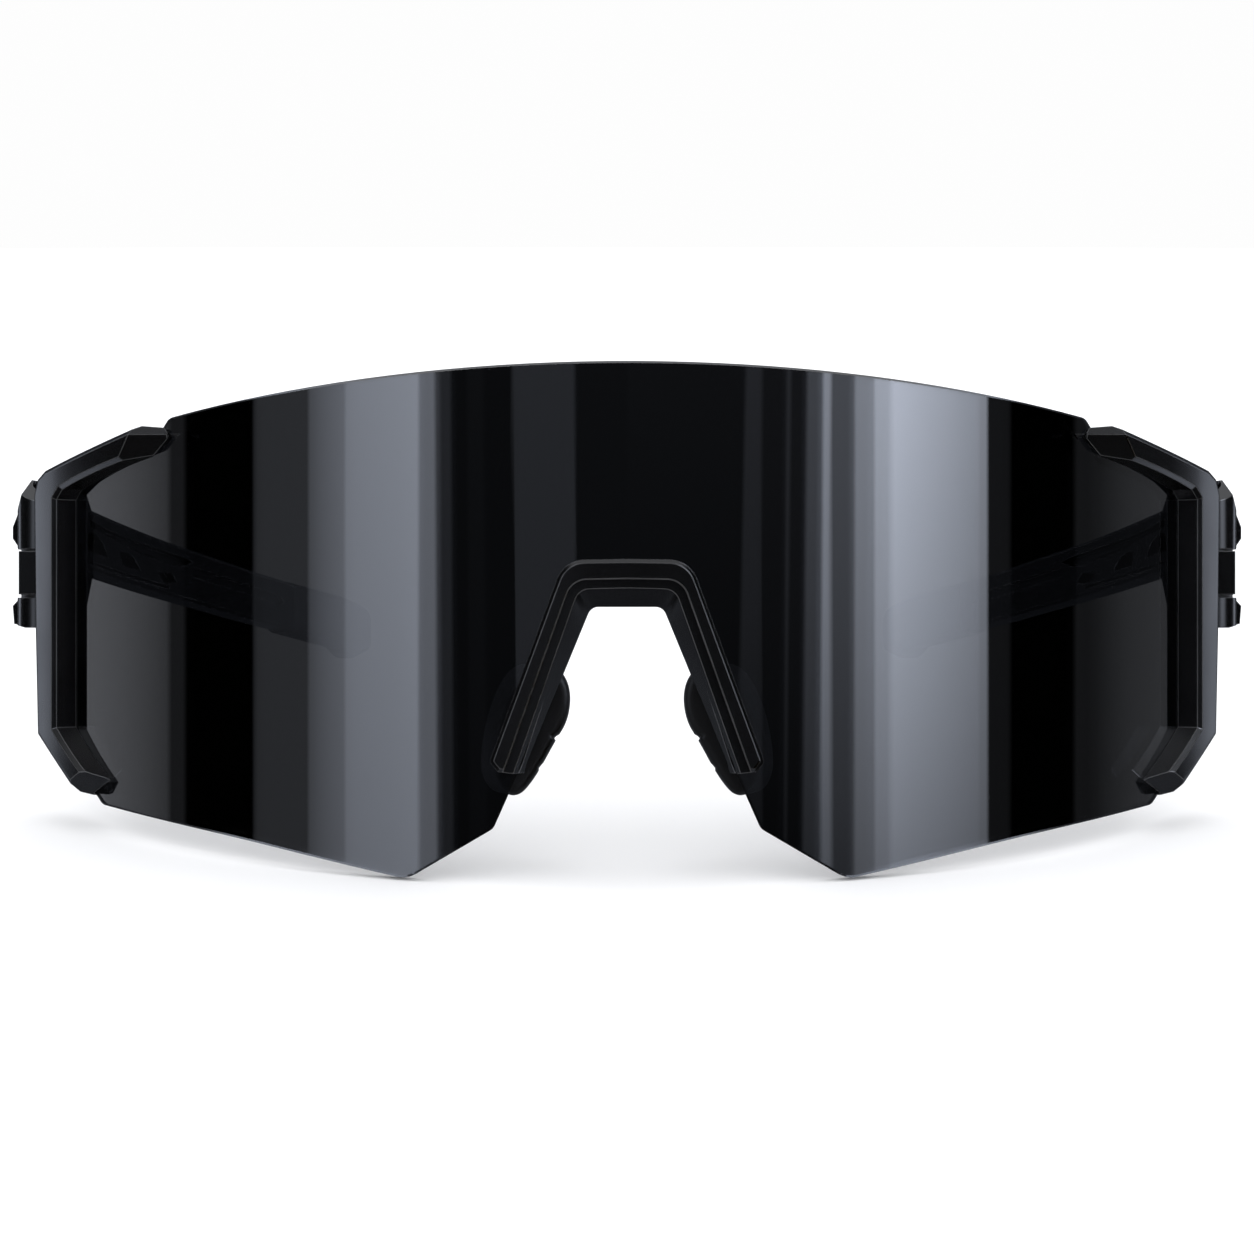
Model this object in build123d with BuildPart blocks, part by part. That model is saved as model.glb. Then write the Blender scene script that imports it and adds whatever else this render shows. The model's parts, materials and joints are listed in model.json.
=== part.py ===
from build123d import *
import os
from math import cos, radians, sin, sqrt, tan

# Wraparound sport sunglasses: a one-piece shield lens held by two side frames and a nose bridge,
# with nose pads on bendable cores and temples that fold on screw hinges.
#
# Every piece is drawn square to the lens: X to the wearer's left, Y rearward from the lens's
# front, Z up from its lowest point. At the end the whole model is leaned back to the pose in
# which it rests on the lens's lower corners and the temple tips.

os.makedirs("parts", exist_ok=True)

# Lens: a vertical cylinder wall, cut to the outline that is seen from the front
LENS_RADIUS = 84.0
LENS_THICKNESS = 1.8
LENS_HALF_ANGLE = 54.0
LENS_TOP = 56.0
BROW_RADIUS = 288.0
BROW_HALF_WIDTH = 52.4
BROW_CORNER_RADIUS = 1.2
LENS_EDGE_CHAMFER = 0.25
SLOT_CLEARANCE = 0.06
# Half of the lens's lower outline from the end of the brow to the top of the nose cut-out,
# with the rounding of each corner between
LENS_EDGE = [(53.8, 49.3), (69.6, 44.5), (69.6, 15.7), (61.6, 6.45), (43.5, 3.65), (24.0, -0.2),
             (14.5, 5.45), (11.5, 12.2), (5.9, 28.9), (4.7, 31.1)]
LENS_EDGE_ROUNDING = [0.6, 1.0, 1.0, 1.1, 300.0, 3.2, 1.1, 20.0, 1.6, 1.4]

# Side frames: a curved C-shaped bar with a slot for the lens's edge
FLANGE_RADIUS = 87.1
LIP_RADIUS = 80.4
WALL_HALF_ANGLE = 75.0
FRAME_REAR = 38.5
FLANGE_CHAMFER = 0.45
FRAME_OUTLINE = [(52.3, 49.1), (52.9, 50.1), (55.5, 50.3), (56.9, 49.8), (66.8, 46.7), (69.3, 45.9),
                 (70.5, 45.0), (71.1, 43.2), (70.9, 28.1), (70.5, 14.5), (64.4, 7.9), (62.9, 7.5),
                 (61.2, 7.5), (60.4, 8.8), (58.0, 14.0), (58.0, 43.0)]
FLANGE_INNER_EDGE = [(48.0, 58.0), (52.9, 51.2), (54.6, 47.3), (67.0, 43.5), (67.9, 42.4),
                     (67.9, 15.4), (62.7, 9.7), (60.8, 6.0), (48.0, 6.0)]
LIP_INNER_EDGE = [(48.0, 50.0), (52.5, 48.2), (54.0, 47.7), (63.2, 44.7), (65.3, 43.3),
                  (65.3, 14.9), (60.4, 8.9), (59.6, 6.0), (48.0, 6.0)]

# Facets that taper the flange's two ends: a point of its front face and the way each facet looks
TIP_FACETS = [((57.0, 49.3), (0, -0.9, 0.43)), ((57.0, 49.3), (0, -0.9, -0.43)),
              ((64.6, 9.9), (0.1, -0.6, -0.78))]
TIP_FACET_REACH = 9.0

# Nose bridge: an inverted U that grips the nose cut-out
BRIDGE_RADIUS = 86.0
BRIDGE_REAR = 6.5
BRIDGE_EDGE_CHAMFER = 0.4
BRIDGE_OUTER = [(0, 34.6), (6.75, 34.5), (14.8, 12.8), (13.9, 11.7)]
BRIDGE_OUTER_ROUNDING = [3.2, 0.6]
BRIDGE_INNER = [(0, 29.5), (3.95, 29.5), (10.9, 12.6), (11.2, 11.4)]
BRIDGE_INNER_ROUNDING = [1.2, 0.6]
BRIDGE_RIDGE = [(0, 32.5), (5.95, 32.4), (12.8, 13.2), (14.3, 9.2)]
BRIDGE_RIDGE_ROUNDING = [2.4, 0.3]
RIDGE_GROOVE_WIDTH = 0.45
RIDGE_GROOVE_DEPTH = 0.5
BEVEL_INSET = 0.8
BEVEL_FRONT = 2.0
BEVEL_DEPTH = 5.0
BRIDGE_HALF_ANGLE = 40.0

# Nose pads: soft pads on a flat steel core whose round root turns in the bridge's leg
PAD_PIVOT = (11.7, 16.4)
PAD_ROOT_RADIUS = 0.65
PAD_RUNNING_CLEARANCE = 0.05
PAD_ROOT_FRONT = 4.0
PAD_FRONT = 7.0
PAD_REAR = 14.5
PAD_FLARE = 2.4
PAD_OUTLINE = [(8.6, 23.4), (6.7, 22.4), (5.8, 20.0), (6.2, 16.9), (7.6, 14.7), (9.8, 10.6),
               (11.8, 8.3), (13.9, 9.4), (14.6, 12.4), (13.4, 18.6), (11.2, 22.8)]
PAD_ROUNDING = 1.1
PAD_EDGE_ROUNDING = 0.8
CORE_FRONT = 8.4
CORE_THICKNESS = 0.8
CORE_LENGTH = 9.0
CORE_WIDTH = 2.4
CORE_SLOPE = 108.0

# Hinges: the side frame's knuckle turns between the two lugs of the temple
PIVOT = (71.4, 42.6)
KNUCKLE_RADIUS = 3.1
KNUCKLE_BOTTOM = 31.24
KNUCKLE_TOP = 36.46
NECK_INNER = 68.0
NECK_OUTER = 73.4
NECK_FRONT = 36.0
LUG_RADIUS = 3.5
LUG_GAP_BOTTOM = 30.9
LUG_GAP_TOP = 36.8
LUG_GAP_REAR = 46.4
LUG_BOTTOM = 27.2
ROOT_TOP = 45.4
WASHER_THICKNESS = 0.3
WASHER_GAP = 0.02
WASHER_RADIUS = 3.05
SCREW_RADIUS = 0.9
SCREW_HEAD_RADIUS = 1.6
SCREW_HEAD_SEAT = 39.6
SCREW_HEAD_HEIGHT = 1.2
SCREW_TIP = 28.0
SCREW_SLOT_WIDTH = 0.5
SCREW_SLOT_LENGTH = 2.4
SCREW_SLOT_DEPTH = 0.6
BORE_CLEARANCE = 0.05
INSERT_RADIUS = 1.4
INSERT_BOTTOM = 27.6

# Temples: the plan line of the arm's inner face and its side view
ARM_LINE = [(67.4, 47.0), (62.0, 75.0), (54.3, 107.0), (47.6, 140.0), (42.2, 166.0)]
ARM_THICKNESS = 3.8
ARM_EDGE_CHAMFER = 0.4
ARM_LONG_EDGE = 15.0
ARM_PROFILE = [(47.0, 42.3), (75.0, 38.9), (107.0, 35.4), (124.0, 33.9), (124.0, 26.8),
               (107.0, 28.3), (75.0, 31.7), (47.0, 34.8)]
ROOT_FRONT_VIEW = [(66.0, 27.2), (73.4, 27.2), (75.5, 27.7), (75.7, 29.9), (74.6, 30.9),
                   (74.6, 36.8), (75.7, 38.2), (75.7, 39.6), (74.4, 42.4), (73.3, 45.4), (66.0, 44.4)]
ROOT_REAR = 54.4
ROOT_OUTER = [(75.7, 43.2), (75.7, 46.0), (74.2, 49.6), (70.2, ROOT_REAR)]
ROOT_SIDE_VIEW = [(39.0, 27.2), (47.6, 27.2), (54.4, 34.0), (54.4, 41.4), (47.6, 45.4),
                  (43.0, 45.4), (39.0, 42.6)]
WINDOWS = [[(47.8, 38.9), (50.0, 39.3), (53.2, 37.9), (55.0, 36.1), (47.8, 36.9)],
           [(58.9, 37.1), (61.9, 36.9), (64.1, 36.3), (66.4, 34.6), (60.0, 35.2)]]
POCKET_DEPTH = 1.1
UPPER_POCKET = [(48.5, 40.8), (56.0, 39.5), (80.0, 36.9), (84.0, 36.2), (80.0, 35.5), (75.6, 35.7),
                (72.0, 36.7), (64.6, 37.6), (57.0, 39.0), (48.5, 40.3)]
BLADE_MIDPOINTS = [(65.6, 52.75, 39.65), (64.5, 60.8, 38.3), (63.2, 68.3, 37.15)]
BLADE_CHAMFER = 0.5
LOWER_GROOVE = [(48.0, 35.6), (76.0, 32.8), (76.0, 32.4), (48.0, 35.2)]
DIMPLE = [(71.7, 34.7), (77.0, 34.6), (78.6, 33.3), (75.4, 33.1), (73.0, 33.6)]
REAR_GROOVE = [(84.0, 35.6), (118.0, 31.9), (119.5, 31.0), (118.0, 30.6), (84.0, 34.2), (82.4, 34.9)]
REAR_GROOVE_DEPTH = 0.6
ARM_CUT_REACH = 5.0

# Temple tips: rubber sleeves on a tongue of the arm, with a flat that stands on the table
TONGUE_PROFILE = [(123.0, 32.0), (158.0, 29.6), (158.0, 26.6), (123.0, 28.6)]
TONGUE_ROOM = [(123.0, 32.03), (158.3, 29.63), (158.3, 26.57), (123.0, 28.57)]
TONGUE_INSET = 0.9
TONGUE_CLEARANCE = 0.03
GRIP_SWELL = 0.35
GRIP_FRONT = 124.05
FLAT_FRONT = 156.0
FLAT_REAR = 163.0

# Resting pose
LEAN = 8.4
LENS_FOOT_X = 24.4
SKETCH_REACH = 1000.0
MODEL_FLOOR = -1.0
MODEL_HEIGHT = 60.0
MODEL_WIDTH = 80.0
MODEL_DEPTH = 170.0
FAN_DEPTHS = (-10.0, 60.0)
POCKET_REACH = 5.0
GROOVE_REACH = 1.0
EDGE_SAMPLES = (0, 0.3, 0.7, 1)
EDGE_TOLERANCE = 0.02
FRONT_VIEW_OFFSET = 5.0
FRONT_VIEW = Plane.XZ.offset(FRONT_VIEW_OFFSET)

LENS_REAR_RADIUS = LENS_RADIUS - LENS_THICKNESS
LENS_FOOT_Y = LENS_RADIUS - sqrt(LENS_REAR_RADIUS ** 2 - LENS_FOOT_X ** 2)


def table_height(depth):
    """Height of the table under a point this far behind the lens's front."""
    return (depth - LENS_FOOT_Y) * tan(radians(LEAN))


def brow_height(x):
    """Height of the lens's top edge at this distance from the centre line."""
    return LENS_TOP - BROW_RADIUS + sqrt(BROW_RADIUS ** 2 - x ** 2)


def bent_wall(inner_radius, outer_radius, half_angle):
    """Plan of a wall bent round the lens's axis, drawn in the open sketch."""
    side = SKETCH_REACH * sin(radians(half_angle))
    front = LENS_RADIUS - SKETCH_REACH * cos(radians(half_angle))
    with Locations((0, LENS_RADIUS)):
        Circle(outer_radius)
        Circle(inner_radius, mode=Mode.SUBTRACT)
    with BuildLine() as sector:
        Polyline((0, LENS_RADIUS), (-side, front), (side, front), close=True)
    make_face(sector.edges(), mode=Mode.INTERSECT)


def arch(half, rounding):
    """An arch across the centre line, its half outline rounded at each inner corner, open below."""
    with BuildLine() as line:
        side = FilletPolyline(*half, radius=rounding)
        mirror(side, about=Plane.YZ)
    return line.edges()


def closed_below(half, rounding):
    """The same arch closed straight across between its feet, as a face in the open sketch."""
    with BuildLine() as line:
        add(arch(half, rounding))
        Line((-half[-1][0], half[-1][1]), half[-1])
    return make_face(line.edges())


def lens_outline():
    """Front view of the lens, drawn in the open sketch."""
    end = (BROW_HALF_WIDTH, brow_height(BROW_HALF_WIDTH))
    with BuildLine() as outline:
        edge = FilletPolyline(end, *LENS_EDGE, (0, LENS_EDGE[-1][1]), radius=LENS_EDGE_ROUNDING)
        mirror(edge, about=Plane.YZ)
        ThreePointArc((-end[0], end[1]), (0, LENS_TOP), end)
    make_face(outline.edges())


def lens_wall(clearance):
    """The lens, or the room that it needs in the frames when there is a clearance."""
    with BuildPart() as wall:
        with BuildSketch(Plane.XY.offset(MODEL_FLOOR)):
            bent_wall(LENS_REAR_RADIUS - clearance, LENS_RADIUS + clearance, LENS_HALF_ANGLE + clearance)
        extrude(amount=MODEL_HEIGHT)
        with BuildSketch(FRONT_VIEW) as outline:
            lens_outline()
            fillet(outline.vertices().group_by(Axis.Y)[-1], BROW_CORNER_RADIUS)
            if clearance > 0:
                offset(amount=clearance)
        extrude(amount=-MODEL_DEPTH, mode=Mode.INTERSECT)
    return wall.part


def square_pocket(outline, radius, inner_radius, outer_radius):
    """Room cut square to the lens between two radii, its outline as seen from the front at radius."""
    with BuildPart() as pocket:
        with BuildSketch(Plane.XY.offset(MODEL_FLOOR)):
            bent_wall(inner_radius, outer_radius, WALL_HALF_ANGLE)
        extrude(amount=MODEL_HEIGHT)
        for depth in FAN_DEPTHS:
            with BuildSketch(Plane.XZ.offset(-depth)):
                with BuildLine():
                    Polyline([(x / sqrt(radius ** 2 - x ** 2) * (LENS_RADIUS - depth), z)
                              for x, z in outline], close=True)
                make_face()
        loft(ruled=True, mode=Mode.INTERSECT)
    return pocket.part


def at_radius(edges, radius):
    """The edges that lie on a cylinder round the lens's axis."""
    def off(edge, t):
        point = edge @ t
        return abs(sqrt(point.X ** 2 + (point.Y - LENS_RADIUS) ** 2) - radius)
    return edges.filter_by(lambda edge: max(off(edge, t) for t in EDGE_SAMPLES) < EDGE_TOLERANCE)


lens_room = lens_wall(SLOT_CLEARANCE)

# Shield lens
with BuildPart() as shield_lens:
    add(lens_wall(0))
    chamfer(at_radius(shield_lens.edges(), LENS_RADIUS), LENS_EDGE_CHAMFER)
shield_lens.part.label = "shield_lens"

# Side frame, wearer's left
with BuildPart() as left_side_frame:
    with BuildSketch(Plane.XY):
        bent_wall(LIP_RADIUS, FLANGE_RADIUS, WALL_HALF_ANGLE)
    extrude(amount=MODEL_HEIGHT)
    with BuildSketch(Plane.XZ):
        with BuildLine():
            Polyline(FRAME_OUTLINE, close=True)
        make_face()
    extrude(amount=-FRAME_REAR, mode=Mode.INTERSECT)
    add(square_pocket(FLANGE_INNER_EDGE, FLANGE_RADIUS, LENS_RADIUS, FLANGE_RADIUS + POCKET_REACH), mode=Mode.SUBTRACT)
    add(square_pocket(LIP_INNER_EDGE, LIP_RADIUS, LIP_RADIUS - POCKET_REACH, LENS_REAR_RADIUS), mode=Mode.SUBTRACT)
    add(lens_room, mode=Mode.SUBTRACT)
    chamfer(at_radius(left_side_frame.edges(), FLANGE_RADIUS), FLANGE_CHAMFER)
    for (x, z), facing in TIP_FACETS:
        ridge_end = (x, LENS_RADIUS - sqrt(FLANGE_RADIUS ** 2 - x ** 2), z)
        with BuildSketch(Plane(ridge_end, z_dir=facing)):
            Rectangle(TIP_FACET_REACH, TIP_FACET_REACH)
        extrude(amount=TIP_FACET_REACH, mode=Mode.SUBTRACT)
    # Knuckle and its neck
    with BuildSketch(Plane.XY.offset(KNUCKLE_BOTTOM)):
        with Locations(PIVOT):
            Circle(KNUCKLE_RADIUS)
        with BuildLine():
            Polyline((NECK_INNER, NECK_FRONT), (NECK_OUTER, NECK_FRONT), (NECK_OUTER, PIVOT[1]),
                     (NECK_INNER, PIVOT[1]), close=True)
        make_face()
    extrude(amount=KNUCKLE_TOP - KNUCKLE_BOTTOM)
    with BuildSketch(Plane.XY.offset(KNUCKLE_BOTTOM)):
        with Locations(PIVOT):
            Circle(SCREW_RADIUS + BORE_CLEARANCE)
    extrude(amount=KNUCKLE_TOP - KNUCKLE_BOTTOM, mode=Mode.SUBTRACT)
left_side_frame.part.label = "left_side_frame"


# Nose bridge
with BuildPart() as ridge_groove:
    with BuildSketch(Plane.XY):
        bent_wall(BRIDGE_RADIUS - RIDGE_GROOVE_DEPTH, BRIDGE_RADIUS + GROOVE_REACH, BRIDGE_HALF_ANGLE)
    extrude(amount=MODEL_HEIGHT)
    with BuildSketch(FRONT_VIEW):
        ridge = closed_below(BRIDGE_RIDGE, BRIDGE_RIDGE_ROUNDING)
        offset(ridge.edges(), amount=-RIDGE_GROOVE_WIDTH, mode=Mode.SUBTRACT)
    extrude(amount=-MODEL_DEPTH, mode=Mode.INTERSECT)

with BuildPart() as nose_bevel:
    with BuildSketch(Plane.XZ.offset(BEVEL_FRONT)):
        closed_below(BRIDGE_RIDGE, BRIDGE_RIDGE_ROUNDING)
        offset(amount=-BEVEL_INSET)
    with BuildSketch(Plane.XZ.offset(BEVEL_FRONT - BEVEL_DEPTH)):
        closed_below(BRIDGE_INNER, BRIDGE_INNER_ROUNDING)
    loft(ruled=True)

with BuildPart() as nose_bridge:
    with BuildSketch(FRONT_VIEW):
        with BuildLine():
            add(arch(BRIDGE_OUTER, BRIDGE_OUTER_ROUNDING))
            add(arch(BRIDGE_INNER, BRIDGE_INNER_ROUNDING))
            for way in (-1, 1):
                Line((way * BRIDGE_OUTER[-1][0], BRIDGE_OUTER[-1][1]),
                     (way * BRIDGE_INNER[-1][0], BRIDGE_INNER[-1][1]))
        make_face()
    extrude(amount=-FRONT_VIEW_OFFSET - BRIDGE_REAR)
    with BuildSketch(Plane.XY):
        bent_wall(LENS_RADIUS / 2, BRIDGE_RADIUS, BRIDGE_HALF_ANGLE)
    extrude(amount=MODEL_HEIGHT, mode=Mode.INTERSECT)
    chamfer(at_radius(nose_bridge.edges(), BRIDGE_RADIUS), BRIDGE_EDGE_CHAMFER)
    add(nose_bevel.part, mode=Mode.SUBTRACT)
    add(ridge_groove.part, mode=Mode.SUBTRACT)
    add(lens_room, mode=Mode.SUBTRACT)
    with BuildSketch(Plane.XZ.offset(-PAD_ROOT_FRONT)):
        with Locations(PAD_PIVOT, (-PAD_PIVOT[0], PAD_PIVOT[1])):
            Circle(PAD_ROOT_RADIUS + PAD_RUNNING_CLEARANCE)
    extrude(amount=-MODEL_DEPTH, mode=Mode.SUBTRACT)
nose_bridge.part.label = "nose_bridge"

# Core of the left nose pad: a round root and a flat blade
with BuildPart() as left_pad_core:
    with BuildSketch(Plane.XZ.offset(-PAD_ROOT_FRONT)):
        with Locations(PAD_PIVOT):
            Circle(PAD_ROOT_RADIUS)
    extrude(amount=PAD_ROOT_FRONT - CORE_FRONT - CORE_THICKNESS)
    with BuildSketch(Plane.XZ.offset(-CORE_FRONT)):
        with Locations(Location(PAD_PIVOT, CORE_SLOPE)):
            SlotOverall(CORE_LENGTH, CORE_WIDTH)
    extrude(amount=-CORE_THICKNESS)
left_pad_core.part.label = "left_pad_core"

# Left nose pad, moulded round its core
with BuildPart() as left_nose_pad:
    for depth, flare in ((PAD_FRONT, 0), (PAD_REAR, PAD_FLARE)):
        with BuildSketch(Plane.XZ.offset(-depth)) as section:
            with BuildLine():
                Polyline([(x + flare, z) for x, z in PAD_OUTLINE], close=True)
            make_face()
            fillet(section.vertices(), PAD_ROUNDING)
    loft()
    ends = left_nose_pad.faces().sort_by(Axis.Y)
    fillet(ends[0].edges() + ends[-1].edges(), PAD_EDGE_ROUNDING)
    add(left_pad_core.part, mode=Mode.SUBTRACT)
left_nose_pad.part.label = "left_nose_pad"

# Hinge screw, its threaded insert and the two washers
with BuildPart() as left_hinge_screw:
    with BuildSketch(Plane.XY.offset(SCREW_TIP)):
        with Locations(PIVOT):
            Circle(SCREW_RADIUS)
    extrude(amount=SCREW_HEAD_SEAT - SCREW_TIP)
    with BuildSketch(Plane.XY.offset(SCREW_HEAD_SEAT)):
        with Locations(PIVOT):
            Circle(SCREW_HEAD_RADIUS)
    extrude(amount=SCREW_HEAD_HEIGHT)
    with BuildSketch(Plane.XY.offset(SCREW_HEAD_SEAT + SCREW_HEAD_HEIGHT)):
        with Locations(PIVOT):
            Rectangle(SCREW_SLOT_WIDTH, SCREW_SLOT_LENGTH)
            Rectangle(SCREW_SLOT_LENGTH, SCREW_SLOT_WIDTH)
    extrude(amount=-SCREW_SLOT_DEPTH, mode=Mode.SUBTRACT)
left_hinge_screw.part.label = "left_hinge_screw"

with BuildPart() as left_hinge_insert:
    with BuildSketch(Plane.XY.offset(INSERT_BOTTOM)):
        with Locations(PIVOT):
            Circle(INSERT_RADIUS)
            Circle(SCREW_RADIUS, mode=Mode.SUBTRACT)
    extrude(amount=LUG_GAP_BOTTOM - INSERT_BOTTOM)
left_hinge_insert.part.label = "left_hinge_insert"

with BuildPart() as left_hinge_washers:
    for height in (LUG_GAP_BOTTOM + WASHER_GAP, LUG_GAP_TOP - WASHER_GAP - WASHER_THICKNESS):
        with BuildSketch(Plane.XY.offset(height)):
            with Locations(PIVOT):
                Circle(WASHER_RADIUS)
                Circle(SCREW_RADIUS + BORE_CLEARANCE, mode=Mode.SUBTRACT)
        extrude(amount=WASHER_THICKNESS)
left_hinge_washers.part.label = "left_hinge_washers"


def arm_band(inner_offset, outer_offset):
    """Plan of the arm between two distances outboard of its inner face, in the open sketch."""
    with BuildLine() as band:
        inner = Spline([(x + inner_offset, y) for x, y in ARM_LINE])
        outer = Spline([(x + outer_offset, y) for x, y in ARM_LINE])
        Line(inner @ 0, outer @ 0)
        Line(inner @ 1, outer @ 1)
    make_face(band.edges())


def arm_slab(profile, inner_offset, outer_offset):
    """A stretch of the arm: its side view cut from the plan band between two offsets."""
    with BuildPart() as slab:
        with BuildSketch(Plane.XY):
            arm_band(inner_offset, outer_offset)
        extrude(amount=MODEL_HEIGHT)
        with BuildSketch(Plane.YZ):
            with BuildLine():
                Polyline(profile, close=True)
            make_face()
        extrude(amount=MODEL_WIDTH, mode=Mode.INTERSECT)
    return slab.part


# Hinge root of the left temple: two lugs on a gusseted block
with BuildPart() as temple_root:
    with BuildSketch(Plane.XY.offset(LUG_BOTTOM)):
        with BuildLine():
            Line((PIVOT[0] - LUG_RADIUS, ROOT_REAR), (PIVOT[0] - LUG_RADIUS, PIVOT[1]))
            ThreePointArc((PIVOT[0] - LUG_RADIUS, PIVOT[1]), (PIVOT[0], PIVOT[1] - LUG_RADIUS),
                          (PIVOT[0] + LUG_RADIUS, PIVOT[1]))
            Polyline((PIVOT[0] + LUG_RADIUS, PIVOT[1]), *ROOT_OUTER, (PIVOT[0] - LUG_RADIUS, ROOT_REAR))
        make_face()
    extrude(amount=ROOT_TOP - LUG_BOTTOM)
    with BuildSketch(FRONT_VIEW):
        with BuildLine():
            Polyline(ROOT_FRONT_VIEW, close=True)
        make_face()
    extrude(amount=-MODEL_DEPTH, mode=Mode.INTERSECT)
    with BuildSketch(Plane.YZ):
        with BuildLine():
            Polyline(ROOT_SIDE_VIEW, close=True)
        make_face()
    extrude(amount=MODEL_WIDTH, mode=Mode.INTERSECT)
    with BuildSketch(Plane.YZ):
        with BuildLine():
            Polyline((0, LUG_GAP_BOTTOM), (LUG_GAP_REAR, LUG_GAP_BOTTOM), (LUG_GAP_REAR, LUG_GAP_TOP),
                     (0, LUG_GAP_TOP), close=True)
        make_face()
    extrude(amount=MODEL_WIDTH, mode=Mode.SUBTRACT)

with BuildPart() as left_temple_arm:
    add(arm_slab(ARM_PROFILE, 0, ARM_THICKNESS))
    chamfer(left_temple_arm.edges().filter_by(lambda edge: edge.length > ARM_LONG_EDGE), ARM_EDGE_CHAMFER)
    add(arm_slab(TONGUE_PROFILE, TONGUE_INSET, ARM_THICKNESS - TONGUE_INSET))
    add(temple_root.part)
    for window in WINDOWS:
        add(arm_slab(window, -ARM_CUT_REACH, ARM_THICKNESS + ARM_CUT_REACH), mode=Mode.SUBTRACT)
    for pocket in (UPPER_POCKET, DIMPLE):
        add(arm_slab(pocket, -ARM_CUT_REACH, POCKET_DEPTH), mode=Mode.SUBTRACT)
    blade = [left_temple_arm.edges().sort_by_distance(Vector(*point))[0] for point in BLADE_MIDPOINTS]
    chamfer(blade, BLADE_CHAMFER)
    for groove in (LOWER_GROOVE, REAR_GROOVE):
        add(arm_slab(groove, -ARM_CUT_REACH, REAR_GROOVE_DEPTH), mode=Mode.SUBTRACT)
    with BuildSketch(Plane.XY.offset(SCREW_HEAD_SEAT)):
        with Locations(PIVOT):
            Circle(SCREW_HEAD_RADIUS + BORE_CLEARANCE)
    extrude(amount=MODEL_HEIGHT, mode=Mode.SUBTRACT)
    with BuildSketch(Plane.XY.offset(SCREW_HEAD_SEAT)):
        with Locations(PIVOT):
            Circle(SCREW_RADIUS + BORE_CLEARANCE)
    extrude(amount=LUG_GAP_TOP - SCREW_HEAD_SEAT, mode=Mode.SUBTRACT)
    with BuildSketch(Plane.XY.offset(INSERT_BOTTOM)):
        with Locations(PIVOT):
            Circle(INSERT_RADIUS)
    extrude(amount=LUG_GAP_BOTTOM - INSERT_BOTTOM, mode=Mode.SUBTRACT)
left_temple_arm.part.label = "left_temple_arm"

# Rubber tip of the left temple, with the flat that stands on the table
GRIP_PROFILE = [(GRIP_FRONT, 34.2), (150.0, 32.3), (158.5, 31.2), (163.0, 30.2), (164.7, 28.6),
                (165.0, 26.0), (FLAT_REAR, table_height(FLAT_REAR)),
                (FLAT_FRONT, table_height(FLAT_FRONT)), (151.0, 23.9), (GRIP_FRONT, 26.4)]
with BuildPart() as left_temple_grip:
    add(arm_slab(GRIP_PROFILE, -GRIP_SWELL, ARM_THICKNESS + GRIP_SWELL))
    add(arm_slab(TONGUE_ROOM, TONGUE_INSET - TONGUE_CLEARANCE,
                 ARM_THICKNESS - TONGUE_INSET + TONGUE_CLEARANCE), mode=Mode.SUBTRACT)
left_temple_grip.part.label = "left_temple_grip"

left_parts = [left_side_frame, left_pad_core, left_nose_pad, left_hinge_screw, left_hinge_insert,
              left_hinge_washers, left_temple_arm, left_temple_grip]
pieces = [shield_lens.part, nose_bridge.part]
for left in left_parts:
    with BuildPart() as right:
        mirror(left.part, about=Plane.YZ)
    right.part.label = left.part.label.replace("left", "right")
    pieces += [left.part, right.part]

# Lean the model back and stand it on the table, centred over its own footprint
lean_back = Location((0, 0, 0), (-LEAN, 0, 0))
boxes = [piece.moved(lean_back).bounding_box() for piece in pieces]
front = min(box.min.Y for box in boxes)
rear = max(box.max.Y for box in boxes)
bottom = min(box.min.Z for box in boxes)
rest = Location((0, -(front + rear) / 2, -bottom)) * lean_back
for piece in pieces:
    placed = piece.moved(rest)
    placed.label = piece.label
    export_step(placed, f"parts/{placed.label}.step")
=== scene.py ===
import json
import math

import bmesh
import bpy
from bpy.props import FloatProperty, FloatVectorProperty, PointerProperty
from mathutils import Matrix, Vector


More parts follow.
